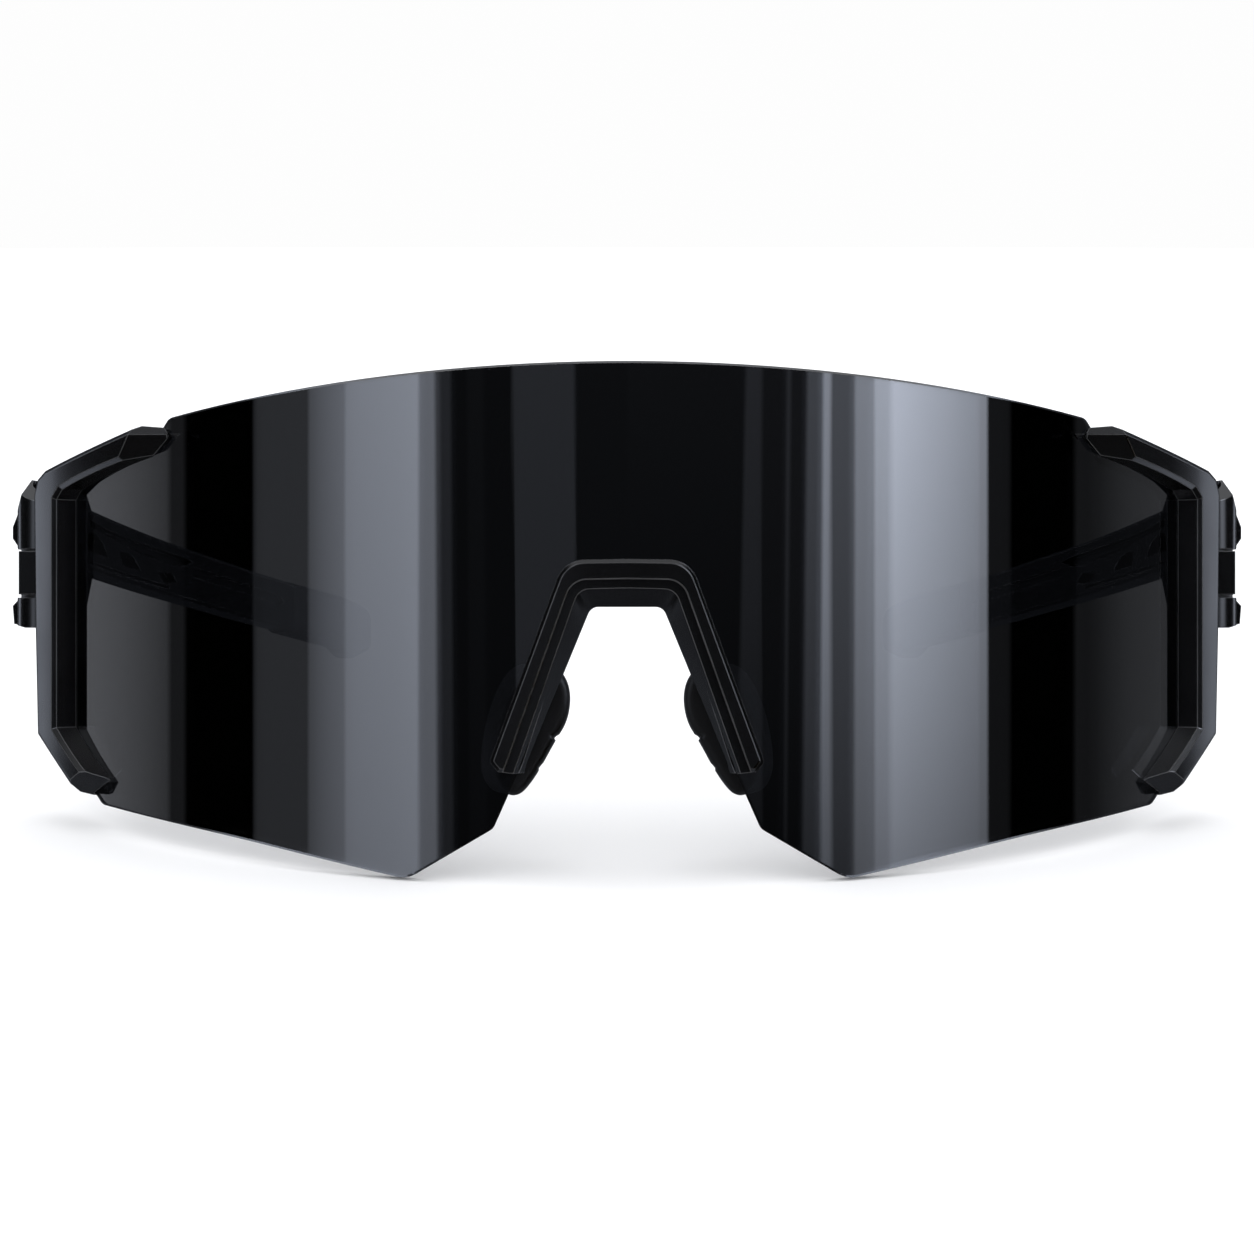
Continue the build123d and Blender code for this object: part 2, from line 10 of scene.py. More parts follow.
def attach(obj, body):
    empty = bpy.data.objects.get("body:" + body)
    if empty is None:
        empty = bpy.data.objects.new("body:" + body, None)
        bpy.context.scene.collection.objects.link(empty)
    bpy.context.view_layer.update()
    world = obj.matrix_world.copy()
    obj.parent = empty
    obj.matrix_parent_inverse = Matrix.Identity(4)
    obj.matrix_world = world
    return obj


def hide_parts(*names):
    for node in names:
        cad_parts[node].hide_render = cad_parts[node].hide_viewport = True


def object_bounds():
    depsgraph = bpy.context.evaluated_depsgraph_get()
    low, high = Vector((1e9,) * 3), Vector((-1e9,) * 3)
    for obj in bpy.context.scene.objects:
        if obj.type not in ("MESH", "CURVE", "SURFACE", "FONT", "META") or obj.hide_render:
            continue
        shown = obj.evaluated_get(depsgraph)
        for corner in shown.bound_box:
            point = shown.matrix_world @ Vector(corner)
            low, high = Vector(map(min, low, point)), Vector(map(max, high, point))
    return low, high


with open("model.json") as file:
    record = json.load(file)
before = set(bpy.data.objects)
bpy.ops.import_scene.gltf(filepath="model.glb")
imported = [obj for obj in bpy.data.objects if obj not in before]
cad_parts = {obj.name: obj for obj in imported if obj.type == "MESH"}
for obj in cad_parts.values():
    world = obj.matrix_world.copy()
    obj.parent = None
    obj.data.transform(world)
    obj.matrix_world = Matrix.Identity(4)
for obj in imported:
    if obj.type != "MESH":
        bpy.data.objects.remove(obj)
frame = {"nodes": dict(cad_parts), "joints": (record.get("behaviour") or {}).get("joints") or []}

bl_info = {
    "name": "Sport Sunglasses Finisher",
    "version": (1, 0, 0),
    "blender": (4, 5, 0),
    "location": "View3D > Sidebar > Eyewear",
    "description": "Finishes a pair of wraparound sport sunglasses and lights them on a pale table",
    "category": "Object",
}

CAD_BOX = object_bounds()
NODES = frame["nodes"]
JOINTS = {joint["name"]: joint for joint in frame["joints"]}
MM = 0.001

# The lens stands square to these three directions; its hinge axis gives its lean
UP = Vector(JOINTS["left_temple_fold"]["axis"]).normalized()
SIDE = Vector((1, 0, 0))
AFT = UP.cross(SIDE)
# The left hinge's middle, measured from the lens's lowest front point: outboard, rearward and up
HINGE = Vector((71.4, 42.6, 34.0)) * MM
LENS_FOOT = (Vector(JOINTS["left_temple_fold"]["pos_m"])
             - HINGE.x * SIDE - HINGE.y * AFT - HINGE.z * UP)


def lens_point(outboard, rearward, height):
    """Place in the scene of a point given in millimetres square to the lens."""
    return LENS_FOOT + (outboard * SIDE + rearward * AFT + height * UP) * MM


def ground_height(rearward):
    """Height square to the lens of the table top under a point this far back, in millimetres."""
    return -(LENS_FOOT.z / MM + AFT.z * rearward) / UP.z


# ---------------------------------------------------------------- node graphs

class Field:
    """A number that changes over a surface: a socket whose sums and products add Math nodes."""

    def __init__(self, recipe, socket):
        self.recipe = recipe
        self.socket = socket

    def _math(self, operation, *values):
        return self.recipe.node("ShaderNodeMath", {"operation": operation}, dict(enumerate(values)))

    def __add__(self, other):
        return self._math("ADD", self, other)

    def __sub__(self, other):
        return self._math("SUBTRACT", self, other)

    def __rsub__(self, other):
        return self._math("SUBTRACT", other, self)

    def __mul__(self, other):
        return self._math("MULTIPLY", self, other)

    def __truediv__(self, other):
        return self._math("DIVIDE", self, other)

    def __gt__(self, other):
        return self._math("GREATER_THAN", self, other)

    __radd__ = __add__
    __rmul__ = __mul__


class Recipe:
    """A material's or the world's node tree, built by calls."""

    def __init__(self, owner):
        owner.use_nodes = True
        self.tree = owner.node_tree
        self.tree.nodes.clear()

    def node(self, kind, settings=None, inputs=None, output=0):
        """Adds a node: its settings first, then the values or links of its sockets."""
        node = self.tree.nodes.new(kind)
        for name, value in (settings or {}).items():
            if name == "stops":
                self._ramp(node.color_ramp, value)
            else:
                setattr(node, name, value)
        for name, value in (inputs or {}).items():
            if isinstance(value, Field):
                self.tree.links.new(value.socket, node.inputs[name])
            else:
                node.inputs[name].default_value = value
        return Field(self, node.outputs[output]) if node.outputs else node

    def _ramp(self, ramp, stops):
        ramp.elements.remove(ramp.elements[1])
        ramp.elements[0].position = stops[0][0]
        for place, _ in stops[1:]:
            ramp.elements.new(place)
        for index, (_, level) in enumerate(stops):
            ramp.elements[index].color = (level, level, level, 1)

    def mix(self, factor, first, second):
        """Blend of two colours."""
        return self.node("ShaderNodeMix", {"data_type": "RGBA"}, {0: factor, 6: first, 7: second}, output=2)

    def grain(self, size, detail):
        """Noise whose features are about this many metres across."""
        place = self.node("ShaderNodeTexCoord", output="Object")
        return self.node("ShaderNodeTexNoise", None, {"Vector": place, "Scale": 1 / size, "Detail": detail})

    def bump(self, height, distance, over):
        """Relief of this many metres laid over another normal."""
        return self.node("ShaderNodeBump", None, {"Height": height, "Distance": distance, "Normal": over})

    def rounded_edges(self, radius):
        """Normals softened along sharp edges, and a mask that is 1 along those edges."""
        soft = self.node("ShaderNodeBevel", {"samples": 6}, {"Radius": radius})
        sharp = self.node("ShaderNodeNewGeometry", output="Normal")
        likeness = self.node("ShaderNodeVectorMath", {"operation": "DOT_PRODUCT"}, {0: soft, 1: sharp},
                             output="Value")
        mask = self.node("ShaderNodeMapRange", None,
                         {"Value": likeness, "From Min": 0.995, "From Max": 0.9})
        return soft, mask


def new_material(name, colour):
    """A named material and its recipe, with the viewport colour set."""
    material = bpy.data.materials.new(name)
    material.diffuse_color = (*colour, 1)
    return material, Recipe(material)


def surface(recipe, inputs):
    """Ends a recipe in a Principled shader."""
    shader = recipe.node("ShaderNodeBsdfPrincipled", None, inputs)
    recipe.node("ShaderNodeOutputMaterial", None, {"Surface": shader})


def smoke_lens(settings):
    """Dark smoke polycarbonate with a hard mirror coat: even tint, faint wipe marks in its gloss."""
    material, recipe = new_material("smoke_mirror_lens", settings.tint)
    smears = recipe.grain(9 * MM, 3.0)
    surface(recipe, {
        "Base Color": (*settings.tint, 1),
        "Roughness": 0.0,
        "IOR": 1.01,
        "Transmission Weight": 1.0,
        "Coat Weight": 1.0,
        "Coat Roughness": settings.coat_roughness,
        "Coat IOR": settings.coat_ior,
        "Normal": recipe.bump(smears, 0.0005 * MM, recipe.node("ShaderNodeNewGeometry", output="Normal")),
    })
    return material


def moulded_plastic(name, colour, roughness, grain_size, grain_depth, edge_radius=0.2 * MM):
    """Satin moulded nylon: a fine spark-eroded grain, polished along its edges and in faint patches; the
    edges also carry a painted highlight, a light grey colour laid along them.
    """
    material, recipe = new_material(name, colour)
    grain = recipe.grain(grain_size, 2.0)
    patches = recipe.grain(6 * MM, 2.0)
    soft, edges = recipe.rounded_edges(edge_radius)
    dark = (*(0.7 * channel for channel in colour), 1)
    # Painted highlight: light grey mixed patchily into the base colour along sharp edges, standing in for the
    # light that rounded edges catch
    painted_edge_highlight = (0.085, 0.085, 0.088, 1)
    surface(recipe, {
        "Base Color": recipe.mix(edges * (0.4 + patches), recipe.mix(patches, dark, (*colour, 1)), painted_edge_highlight),
        "Roughness": roughness - 0.05 + 0.1 * patches - 0.1 * edges,
        "Normal": recipe.bump(grain, grain_depth, soft),
    })
    return material


def soft_rubber(name, colour, roughness):
    """Matt moulded rubber with a fine skin and a little bloom."""
    material, recipe = new_material(name, colour)
    skin = recipe.grain(0.25 * MM, 3.0)
    bloom = recipe.grain(4 * MM, 3.0)
    pale = tuple(1.6 * channel for channel in colour)
    surface(recipe, {
        "Base Color": recipe.mix(bloom, (*colour, 1), (*pale, 1)),
        "Roughness": roughness + 0.12 * (bloom - 0.5),
        "Specular IOR Level": 0.25,
        "Normal": recipe.bump(skin, 0.03 * MM, recipe.node("ShaderNodeNewGeometry", output="Normal")),
    })
    return material


def turned_metal(name, colour, roughness):
    """Bright machined metal with fine marks."""
    material, recipe = new_material(name, colour)
    marks = recipe.grain(0.15 * MM, 4.0)
    soft, _ = recipe.rounded_edges(0.05 * MM)
    surface(recipe, {
        "Base Color": (*colour, 1),
        "Metallic": 1.0,
        "Roughness": roughness + 0.12 * marks,
        "Normal": recipe.bump(marks, 0.01 * MM, soft),
    })
    return material


def dress(nodes, material):
    """Gives CAD nodes a finish."""
    for node in nodes:
        NODES[node].data.materials.clear()
        NODES[node].data.materials.append(material)


def both_sides(name):
    return [f"{side}_{name}" for side in ("left", "right")]


# ---------------------------------------------------------------- settings

class LensSettings(bpy.types.PropertyGroup):
    tint: FloatVectorProperty(name="Tint", description="Light that gets through the lens", subtype="COLOR",
                              size=3, min=0, max=1, default=(0.15, 0.156, 0.17))
    coat_ior: FloatProperty(name="Mirror Coat", description="Refractive index of the coated face",
                            default=1.9, min=1.3, max=3)
    coat_roughness: FloatProperty(name="Coat Roughness", description="Haze of the coated face", default=0.01,
                                  min=0, max=1, subtype="FACTOR")


class FrameSettings(bpy.types.PropertyGroup):
    colour: FloatVectorProperty(name="Colour", description="Colour of the moulded plastic", subtype="COLOR",
                                size=3, min=0, max=1, default=(0.0025, 0.0025, 0.0027))
    roughness: FloatProperty(name="Roughness", description="Sheen of the plastic", default=0.2, min=0, max=1,
                             subtype="FACTOR")
    grain_size: FloatProperty(name="Grain Size", description="Width of the moulded grain's features",
                              default=0.18 * MM, min=0.02 * MM, unit="LENGTH")
    grain_depth: FloatProperty(name="Grain Depth", description="Height of the moulded grain",
                               default=0.0015 * MM, min=0, unit="LENGTH")


class PadSettings(bpy.types.PropertyGroup):
    rounding: FloatProperty(name="Rounding", description="Radius of the pad's rims", default=1.2 * MM,
                            min=0.2 * MM, unit="LENGTH")
    groove_heights: FloatVectorProperty(name="Groove Heights", size=2, default=(15.3, 11.4),
                                        description="Millimetres above the lens's foot")
    groove_depth: FloatProperty(name="Groove Depth", description="Depth of the two cross grooves",
                                default=0.4 * MM, min=0, unit="LENGTH")


class GripSettings(bpy.types.PropertyGroup):
    panel_depth: FloatProperty(name="Panel Depth", description="Depth of the panel moulded in each face",
                               default=0.25 * MM, min=0, unit="LENGTH")


class StudioSettings(bpy.types.PropertyGroup):
    camera_distance: FloatProperty(name="Camera Distance", description="From the camera to the lens's middle",
                                   default=0.3, min=0.05, unit="LENGTH")
    focal_length: FloatProperty(name="Focal Length", description="Focal length in millimetres",
                                default=79.95, min=10)
    aim_height: FloatProperty(name="Aim Height", description="Height on the lens that the camera looks at",
                              default=27.3 * MM, unit="LENGTH")
    paleness: FloatProperty(name="Paleness", description="Brightness of the table and the backdrop",
                            default=0.985, min=0, max=1, subtype="FACTOR")


# ---------------------------------------------------------------- studio light

# Upright panels round the lens, reflected by everything glossy: angle from straight ahead at the near
# and far edge, in degrees, and the brightness at each edge
LEFT_PANELS = [(0, 8.7, 0.033, 0.033), (8.7, 19.2, 0.145, 0.145), (19.2, 24.5, 0.026, 0.026),
               (24.5, 26.9, 0.036, 0.036), (26.9, 29.7, 0.026, 0.026), (29.7, 32.4, 0.127, 0.127),
               (32.4, 35.4, 0.8, 0.8), (35.4, 48.9, 1.66, 1.32), (48.9, 55.8, 0.85, 0.4),
               (55.8, 66.9, 0.085, 0.08), (66.9, 82.3, 0.0, 0.0), (82.3, 87.2, 0.008, 0.008),
               (87.2, 113, 0.01, 0.02), (115, 129, 1.3, 1.1), (132, 180, 0.08, 0.05)]
RIGHT_PANELS = [(0, 20.2, 0.03, 0.03), (20.2, 23.0, 0.1, 0.1), (23.0, 26.8, 0.037, 0.037),
                (26.8, 28.0, 0.13, 0.13), (28.0, 30.4, 0.045, 0.045), (30.4, 33.4, 0.3, 0.3),
                (33.4, 35.0, 1.4, 1.4), (35.0, 38.9, 0.38, 0.38), (38.9, 42.4, 1.15, 1.15),
                (42.4, 45.7, 2.05, 2.05), (45.7, 64.2, 2.85, 1.35), (64.2, 69.0, 0.02, 0.02),
                (69.0, 83.7, 0.0, 0.0), (83.7, 113, 0.01, 0.02), (115, 129, 1.3, 1.1),
                (132, 180, 0.08, 0.05)]
# The ramps hold levels up to 1, which this colour then scales
PANEL_PEAK = 4.0
PANEL_TINT = (0.9 * PANEL_PEAK, 0.97 * PANEL_PEAK, 1.13 * PANEL_PEAK)
PANEL_GAP = 0.0002
# How much brighter the front panels of each side get with height
LEFT_FALL = 2.4
RIGHT_FALL = 6.0
# Flags behind the lens, seen only through it: half plus twice the sideways slope, and brightness
BEHIND_SPREAD = 2.0
BEHIND = [(0.1, 0.72), (0.1359, 0.46), (0.169, 0.21), (0.1691, 0.06), (0.1833, 0.06), (0.1835, 0.0),
          (0.2329, 0.0), (0.2331, 0.1), (0.3636, 0.1), (0.364, 0.0), (0.663, 0.0), (0.6635, 0.1),
          (0.7578, 0.1), (0.758, 0.03), (0.7743, 0.03), (0.7746, 0.0), (0.821, 0.0), (0.8212, 0.05),
          (0.8311, 0.04), (0.8397, 0.06), (0.8612, 0.15), (0.8885, 0.22)]
# How far back from straight sideways the flags begin
BEHIND_START = -0.3
# Light on matt surfaces, reflected overhead and low in front, and seen forwards through the lens
SOFT_LIGHT = (1.38, 1.39, 1.42, 1)
OVERHEAD = (1.0, 1.02, 1.07, 1)
LOW_FRONT = (0.03, 0.03, 0.032, 1)
THROUGH_FROM_BEHIND = (0.5, 0.5, 0.52, 1)
TABLE_RADIUS = 6.0
TABLE_CLEARANCE = 0.1 * MM


# ---------------------------------------------------------------- operators

class EYEWEAR_OT_stage(bpy.types.Operator):
    """Set up the camera, the pale table and the studio's panels"""
    bl_idname = "eyewear.stage"
    bl_label = "Build Stage"

    def execute(self, context):
        settings = context.scene.eyewear_studio
        self.camera(context, settings)
        self.table(context, settings)
        self.studio(context, settings)
        context.scene.view_settings.view_transform = "Standard"
        context.scene.view_settings.look = "None"
        return {"FINISHED"}

    def camera(self, context, settings):
        """Square to the lens, so that it looks down by the lens's own lean."""
        data = bpy.data.cameras.new("camera")
        data.sensor_width = 36
        data.lens = settings.focal_length
        data.clip_start = 0.01
        camera = bpy.data.objects.new("camera", data)
        camera.matrix_world = Matrix.Translation(
            LENS_FOOT + settings.aim_height * UP - settings.camera_distance * AFT
        ) @ Matrix((SIDE, UP, -AFT)).transposed().to_4x4()
        context.scene.collection.objects.link(camera)
        context.scene.camera = camera

    def table(self, context, settings):
        mesh = bpy.data.meshes.new("table")
        build = bmesh.new()
        bmesh.ops.create_circle(build, cap_ends=True, segments=96, radius=TABLE_RADIUS)
        build.to_mesh(mesh)
        build.free()
        table = bpy.data.objects.new("table", mesh)
        table.location.z = CAD_BOX[0][2] - TABLE_CLEARANCE
        context.scene.collection.objects.link(table)
        material, recipe = new_material("pale_table", (settings.paleness,) * 3)
        surface(recipe, {"Base Color": (*(settings.paleness,) * 3, 1), "Roughness": 0.9,
                         "Specular IOR Level": 0.0})
        mesh.materials.append(material)
        table.visible_glossy = False
        table.visible_transmission = False

    def studio(self, context, settings):
        """White surroundings, a ring of upright panels that glossy rays meet, and flags behind the lens."""
        world = bpy.data.worlds.new("studio")
        context.scene.world = world
        world.cycles.sampling_method = "NONE"
        recipe = Recipe(world)
        way = recipe.node("ShaderNodeTexCoord", output="Generated")
        rays = {name: recipe.node("ShaderNodeLightPath", output=name)
                for name in ("Is Diffuse Ray", "Is Glossy Ray", "Is Transmission Ray", "Glossy Depth")}

        def along(axis):
            return recipe.node("ShaderNodeVectorMath", {"operation": "DOT_PRODUCT"},
                               {0: way, 1: tuple(axis)}, output="Value")

        across, ahead, height = along(SIDE), along(-AFT), along(UP)
        angle = recipe.node("ShaderNodeMath", {"operation": "ARCTAN2"}, {0: across, 1: ahead})
        half_turns = recipe.node("ShaderNodeMath", {"operation": "ABSOLUTE"}, {0: angle}) / math.pi
        left = self.panel_ramp(recipe, half_turns, LEFT_PANELS)
        right = self.panel_ramp(recipe, half_turns, RIGHT_PANELS)
        sides = across > 0
        panels = recipe.mix(sides, left, right)
        front = ahead > 0
        fall = 1 + front * height * (LEFT_FALL + sides * (RIGHT_FALL - LEFT_FALL))
        panels = recipe.node("ShaderNodeVectorMath", {"operation": "SCALE"}, {0: panels, "Scale": fall})
        ceiling = recipe.node("ShaderNodeMapRange", {"interpolation_type": "SMOOTHSTEP"},
                              {"Value": height, "From Min": 0.7, "From Max": 0.9})
        below = recipe.node("ShaderNodeMapRange", {"interpolation_type": "SMOOTHSTEP"},
                            {"Value": height, "From Min": -0.3, "From Max": -0.6})
        panels = recipe.mix(ceiling, panels, OVERHEAD)
        panels = recipe.mix(front * below, panels, LOW_FRONT)
        flags = recipe.node("ShaderNodeValToRGB", {"stops": BEHIND},
                            {"Fac": 0.5 + across / (0 - ahead) * BEHIND_SPREAD})
        seen = recipe.mix(rays["Glossy Depth"] > 0.5, THROUGH_FROM_BEHIND, panels)
        flags = recipe.mix(ahead > BEHIND_START, flags, seen)
        white = recipe.mix(rays["Is Diffuse Ray"], (settings.paleness,) * 3 + (1,), SOFT_LIGHT)
        colour = recipe.mix(rays["Is Glossy Ray"], white, panels)
        colour = recipe.mix(rays["Is Transmission Ray"], colour, flags)
        glow = recipe.node("ShaderNodeBackground", None, {"Color": colour, "Strength": 1.0})
        recipe.node("ShaderNodeOutputWorld", None, {"Surface": glow})

    def panel_ramp(self, recipe, half_turns, panels):
        """Two stops for each panel: brightness at its near edge and at its far edge."""
        stops = []
        for start, end, near, far in panels:
            stops += [(start / 180 + PANEL_GAP, near / PANEL_PEAK), (end / 180 - PANEL_GAP, far / PANEL_PEAK)]
        ramp = recipe.node("ShaderNodeValToRGB", {"stops": stops}, {"Fac": half_turns})
        return recipe.node("ShaderNodeVectorMath", {"operation": "MULTIPLY"}, {0: ramp, 1: PANEL_TINT})


class EYEWEAR_OT_lens(bpy.types.Operator):
    """Finish the shield lens"""
    bl_idname = "eyewear.lens"
    bl_label = "Finish Lens"

    def execute(self, context):
        dress(["shield_lens"], smoke_lens(context.scene.eyewear_lens))
        return {"FINISHED"}


class EYEWEAR_OT_frames(bpy.types.Operator):
    """Finish the side frames, the nose bridge and the temples"""
    bl_idname = "eyewear.frames"
    bl_label = "Finish Frames"

    def execute(self, context):
        settings = context.scene.eyewear_frame
        plastic = moulded_plastic("satin_black_nylon", settings.colour, settings.roughness,
                                  settings.grain_size, settings.grain_depth)
        dress(both_sides("side_frame") + both_sides("temple_arm") + ["nose_bridge"], plastic)
        return {"FINISHED"}


class EYEWEAR_OT_hinges(bpy.types.Operator):
    """Finish the hinge screws, inserts and washers and the pads' steel cores"""
    bl_idname = "eyewear.hinges"
    bl_label = "Finish Hinges"

    def execute(self, context):
        steel = turned_metal("bright_steel", (0.62, 0.62, 0.64), 0.22)
        dress(both_sides("hinge_screw") + both_sides("pad_core"), steel)
        dress(both_sides("hinge_insert"), turned_metal("turned_brass", (0.74, 0.55, 0.26), 0.25))
        dress(both_sides("hinge_washers"),
              moulded_plastic("black_acetal", (0.01, 0.01, 0.01), 0.4, 0.3 * MM, 0.003 * MM))
        return {"FINISHED"}


def smooth_loop(corners, count):
    """Points spread evenly along a closed curve that rounds off these corners."""
    points = []
    for index, corner in enumerate(corners):
        before, after = Vector(corners[index - 1]), Vector(corners[(index + 1) % len(corners)])
        corner = Vector(corner)
        start, end = (before + corner) / 2, (corner + after) / 2
        steps = count // len(corners)
        for step in range(steps):
            t = step / steps
            points.append((1 - t) ** 2 * start + 2 * t * (1 - t) * corner + t ** 2 * end)
    return points


def inset_loop(points, distance):
    """The closed loop moved inward; its points run anticlockwise seen from the front."""
    moved = []
    for index, point in enumerate(points):
        along = points[(index + 1) % len(points)] - points[index - 1]
        inward = Vector((-along.y, along.x)).normalized()
        moved.append(point + inward * distance)
    return moved


def skin(name, rings, material, body, node, slot):
    """A closed smooth surface through rings of scene points, standing for a CAD node."""
    mesh = bpy.data.meshes.new(name)
    build = bmesh.new()
    rows = [[build.verts.new(point) for point in ring] for ring in rings]
    size = len(rows[0])
    for near, far in zip(rows, rows[1:]):
        for index in range(size):
            after = (index + 1) % size
            build.faces.new((near[index], near[after], far[after], far[index]))
    for row in (rows[0], rows[-1]):
        middle = build.verts.new(sum((vert.co for vert in row), Vector()) / size)
        for index in range(size):
            build.faces.new((row[index], row[(index + 1) % size], middle))
    bmesh.ops.recalc_face_normals(build, faces=build.faces)
    for face in build.faces:
        face.smooth = True
    build.to_mesh(mesh)
    build.free()
    mesh.materials.append(material)
    piece = bpy.data.objects.new(name, mesh)
    bpy.context.scene.collection.objects.link(piece)
    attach(piece, body)
    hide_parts(node)
    return piece


class EYEWEAR_OT_pads(bpy.types.Operator):
    """Make the soft nose pads"""
    bl_idname = "eyewear.pads"
    bl_label = "Make Nose Pads"

    # Front view of the left pad, anticlockwise, and its depths behind the lens's front
    CORNERS = [(8.6, 23.4), (6.7, 22.4), (5.8, 20.0), (6.2, 16.9), (7.6, 14.7), (9.8, 10.6), (11.8, 8.3),
               (13.9, 9.4), (14.6, 12.4), (13.4, 18.6), (11.2, 22.8)]
    FRONT = 7.05
    REAR = 14.45
    FLARE = 2.4
    DISH_SLOPE = 0.12
    CROWN_SLOPE = 0.1
    INNER_RINGS = (0.25, 0.6, 1.1, 1.6)
    LOOP_POINTS = 132
    RIM_STEPS = 6
    SIDE_STEPS = 8
    # The grooves cross the half towards the nose, rise outboard and fade out over this distance
    GROOVE_END = 10.6
    GROOVE_FADE = 2.0
    GROOVE_SLOPE = 0.35
    GROOVE_LEVEL = 8.0
    GROOVE_WIDTH = 0.22

    def execute(self, context):
        settings = context.scene.eyewear_pads
        rubber = soft_rubber("pad_rubber", (0.006, 0.006, 0.0065), 0.42)
        for side, sign in (("left", 1), ("right", -1)):
            rings = [self.ring(settings, turn, sign) for turn in self.profile(settings)]
            pad = skin(f"{side}_soft_nose_pad", rings, rubber, f"{side}_pad", f"{side}_nose_pad",
                       "pad_rubber")
        return {"FINISHED"}

    def profile(self, settings):
        """Inset and depth from the front face's middle, over the rounded rim, to the rear face's middle."""
        rounding = settings.rounding / MM
        quarter = [math.pi / 2 * step / self.RIM_STEPS for step in range(self.RIM_STEPS + 1)]
        front = [(rounding * (1 - math.sin(turn)), self.FRONT + rounding * (1 - math.cos(turn)))
                 for turn in quarter]
        rear = [(inset, self.REAR + self.FRONT - depth) for inset, depth in reversed(front)]
        straight = self.REAR - self.FRONT - 2 * rounding
        middle = [(0.0, self.FRONT + rounding + straight * step / self.SIDE_STEPS)
                  for step in range(1, self.SIDE_STEPS)]
        dish = [(rounding + inset, self.FRONT + self.DISH_SLOPE * inset) for inset in self.INNER_RINGS[::-1]]
        cushion = [(rounding + inset, self.REAR - self.CROWN_SLOPE * inset) for inset in self.INNER_RINGS]
        return dish + front + middle + rear + cushion

    def ring(self, settings, turn, sign):
        """The pad's outline at one inset and depth, with the cross grooves pressed in."""
        inset, depth = turn
        flare = self.FLARE * (depth - self.FRONT) / (self.REAR - self.FRONT)
        points = []
        for point in inset_loop(smooth_loop(self.CORNERS, self.LOOP_POINTS), inset):
            towards_nose = max(0.0, min(1.0, (self.GROOVE_END - point.x) / self.GROOVE_FADE))
            rise = self.GROOVE_SLOPE * (point.x - self.GROOVE_LEVEL)
            groove = sum(math.exp(-((point.y - height - rise) / self.GROOVE_WIDTH) ** 2)
                         for height in settings.groove_heights)
            shift = towards_nose * groove * settings.groove_depth / MM
            points.append(lens_point(sign * (point.x + flare + shift), depth, point.y))
        return points


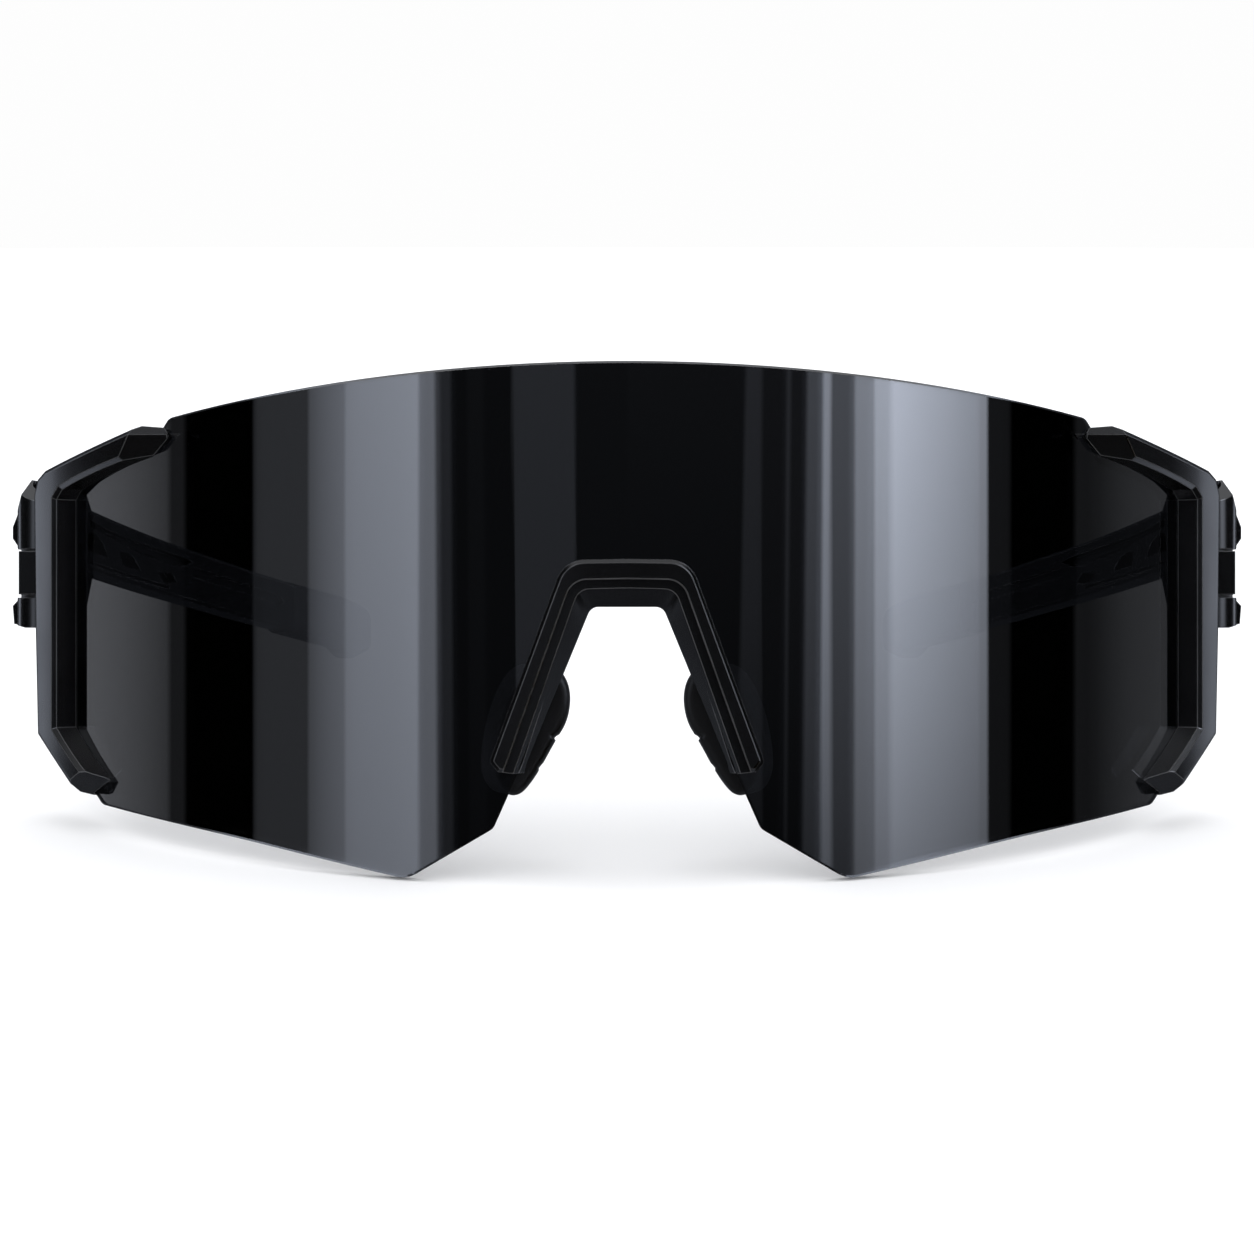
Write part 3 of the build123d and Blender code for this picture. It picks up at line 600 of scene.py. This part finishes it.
class EYEWEAR_OT_grips(bpy.types.Operator):
    """Make the rubber sleeves on the temple tips"""
    bl_idname = "eyewear.grips"
    bl_label = "Make Temple Grips"

    # Rearward distance with the inner face's distance from the middle, and with the top and bottom edges
    INNER_FACE = [(124.05, 51.0), (132.0, 49.35), (140.0, 47.65), (148.0, 45.98), (156.0, 44.3),
                  (165.0, 42.4)]
    TOP = [(124.05, 34.2), (150.0, 32.3), (158.5, 31.2), (161.5, 30.6), (163.3, 29.7), (164.4, 28.3),
           (165.0, 26.4)]
    BOTTOM = [(124.05, 26.4), (151.0, 23.9), (154.0, 22.8), (156.0, None), (163.0, None), (164.3, 24.3),
              (165.0, 25.6)]
    START = 124.0
    LIP_LENGTH = 0.4
    TAIL_START = 162.2
    TAIL_LENGTH = 2.8
    HALF_WIDTH = 2.2
    CORNER = 1.3
    # From the inner face to the sleeve's middle, and how near a side counts as its face
    MIDDLE = 1.9
    FACE_DEPTH = 0.3
    STATIONS = [124.08 + 0.5 * step for step in range(81)] + [164.5, 164.75, 164.9, 164.97]
    # The moulded panel: its front and rear ends, half its height and the width of its slopes
    PANEL_FRONT = 147.5
    PANEL_REAR = 162.3
    PANEL_LOW = -2.0
    PANEL_HIGH = 2.1
    PANEL_SLOPE = 0.5

    def execute(self, context):
        settings = context.scene.eyewear_grips
        rubber = soft_rubber("grip_rubber", (0.007, 0.007, 0.0075), 0.5)
        for side, sign in (("left", 1), ("right", -1)):
            rings = [self.ring(settings, station, sign) for station in self.STATIONS]
            skin(f"{side}_rubber_grip", rings, rubber, f"{side}_temple", f"{side}_temple_grip", "grip_rubber")
        return {"FINISHED"}

    @staticmethod
    def along(table, place):
        """Value at a place in a table of places and values; None stands for the table top's height."""
        for (start, first), (end, last) in zip(table, table[1:]):
            if place <= end:
                first = ground_height(start) if first is None else first
                last = ground_height(end) if last is None else last
                return first + (last - first) * (place - start) / (end - start)
        return table[-1][1]

    def ring(self, settings, station, sign):
        """The sleeve's section at one place, thinned to a lip at its front and rounded off at its tail."""
        inner = self.along(self.INNER_FACE, station)
        top, bottom = self.along(self.TOP, station), self.along(self.BOTTOM, station)
        lip = min(1.0, (station - self.START) / self.LIP_LENGTH)
        tail = max(0.0, (station - self.TAIL_START) / self.TAIL_LENGTH)
        half_width = self.HALF_WIDTH * math.sqrt(max(0.03, 1 - tail ** 2)) - 0.25 * (1 - lip)
        half_height = (top - bottom) / 2 - 0.2 * (1 - lip)
        corner = min(self.CORNER, 0.9 * half_height, 0.9 * half_width)
        ring = []
        for across, upward in self.rounded_section(half_width, half_height, corner):
            if abs(across) > half_width - self.FACE_DEPTH:
                across -= math.copysign(self.panel(settings, station, upward), across)
            ring.append(lens_point(sign * (inner + self.MIDDLE + across), station,
                                   (top + bottom) / 2 + upward))
        return ring

    @staticmethod
    def rounded_section(half_width, half_height, corner):
        """Points round a rectangle with rounded corners: each corner, then the straight after it."""
        points = []
        for quarter in range(4):
            centre_x = (1 if quarter in (0, 3) else -1) * (half_width - corner)
            centre_y = (1 if quarter in (0, 1) else -1) * (half_height - corner)
            for step in range(9):
                turn = math.pi / 2 * (quarter + step / 8)
                points.append((centre_x + corner * math.cos(turn), centre_y + corner * math.sin(turn)))
            turn = math.pi / 2 * (quarter + 1)
            straight = half_width - corner if quarter % 2 == 0 else half_height - corner
            for step in range(1, 8):
                slide = 2 * straight * step / 8
                points.append((centre_x + corner * math.cos(turn) - slide * math.sin(turn),
                               centre_y + corner * math.sin(turn) + slide * math.cos(turn)))
        return points

    def panel(self, settings, station, upward):
        """Depth of the moulded panel in the grip's two faces."""
        edges = (station - self.PANEL_FRONT, self.PANEL_REAR - station,
                 upward - self.PANEL_LOW, self.PANEL_HIGH - upward)
        inside = max(0.0, min(1.0, min(edges) / self.PANEL_SLOPE))
        return inside * settings.panel_depth / MM


class EYEWEAR_PT_panel(bpy.types.Panel):
    """Lists the steps and their settings"""
    bl_label = "Sport Sunglasses"
    bl_idname = "EYEWEAR_PT_panel"
    bl_space_type = "VIEW_3D"
    bl_region_type = "UI"
    bl_category = "Eyewear"

    def draw(self, context):
        for group in SETTINGS:
            box = self.layout.box()
            for name in SETTINGS[group].__annotations__:
                box.prop(getattr(context.scene, group), name)
        for step in STEPS:
            self.layout.operator(step.bl_idname)


SETTINGS = {"eyewear_lens": LensSettings, "eyewear_frame": FrameSettings, "eyewear_pads": PadSettings,
            "eyewear_grips": GripSettings, "eyewear_studio": StudioSettings}
STEPS = (EYEWEAR_OT_stage, EYEWEAR_OT_lens, EYEWEAR_OT_frames, EYEWEAR_OT_hinges, EYEWEAR_OT_pads,
         EYEWEAR_OT_grips)


def register():
    for cls in (*SETTINGS.values(), *STEPS, EYEWEAR_PT_panel):
        bpy.utils.register_class(cls)
    for group, cls in SETTINGS.items():
        setattr(bpy.types.Scene, group, PointerProperty(type=cls))


def unregister():
    for group in SETTINGS:
        delattr(bpy.types.Scene, group)
    for cls in reversed((*SETTINGS.values(), *STEPS, EYEWEAR_PT_panel)):
        bpy.utils.unregister_class(cls)


def main():
    register()
    for step in STEPS:
        area, name = step.bl_idname.split(".")
        getattr(getattr(bpy.ops, area), name)()
    bpy.context.view_layer.update()


if __name__ == "__main__":
    main()
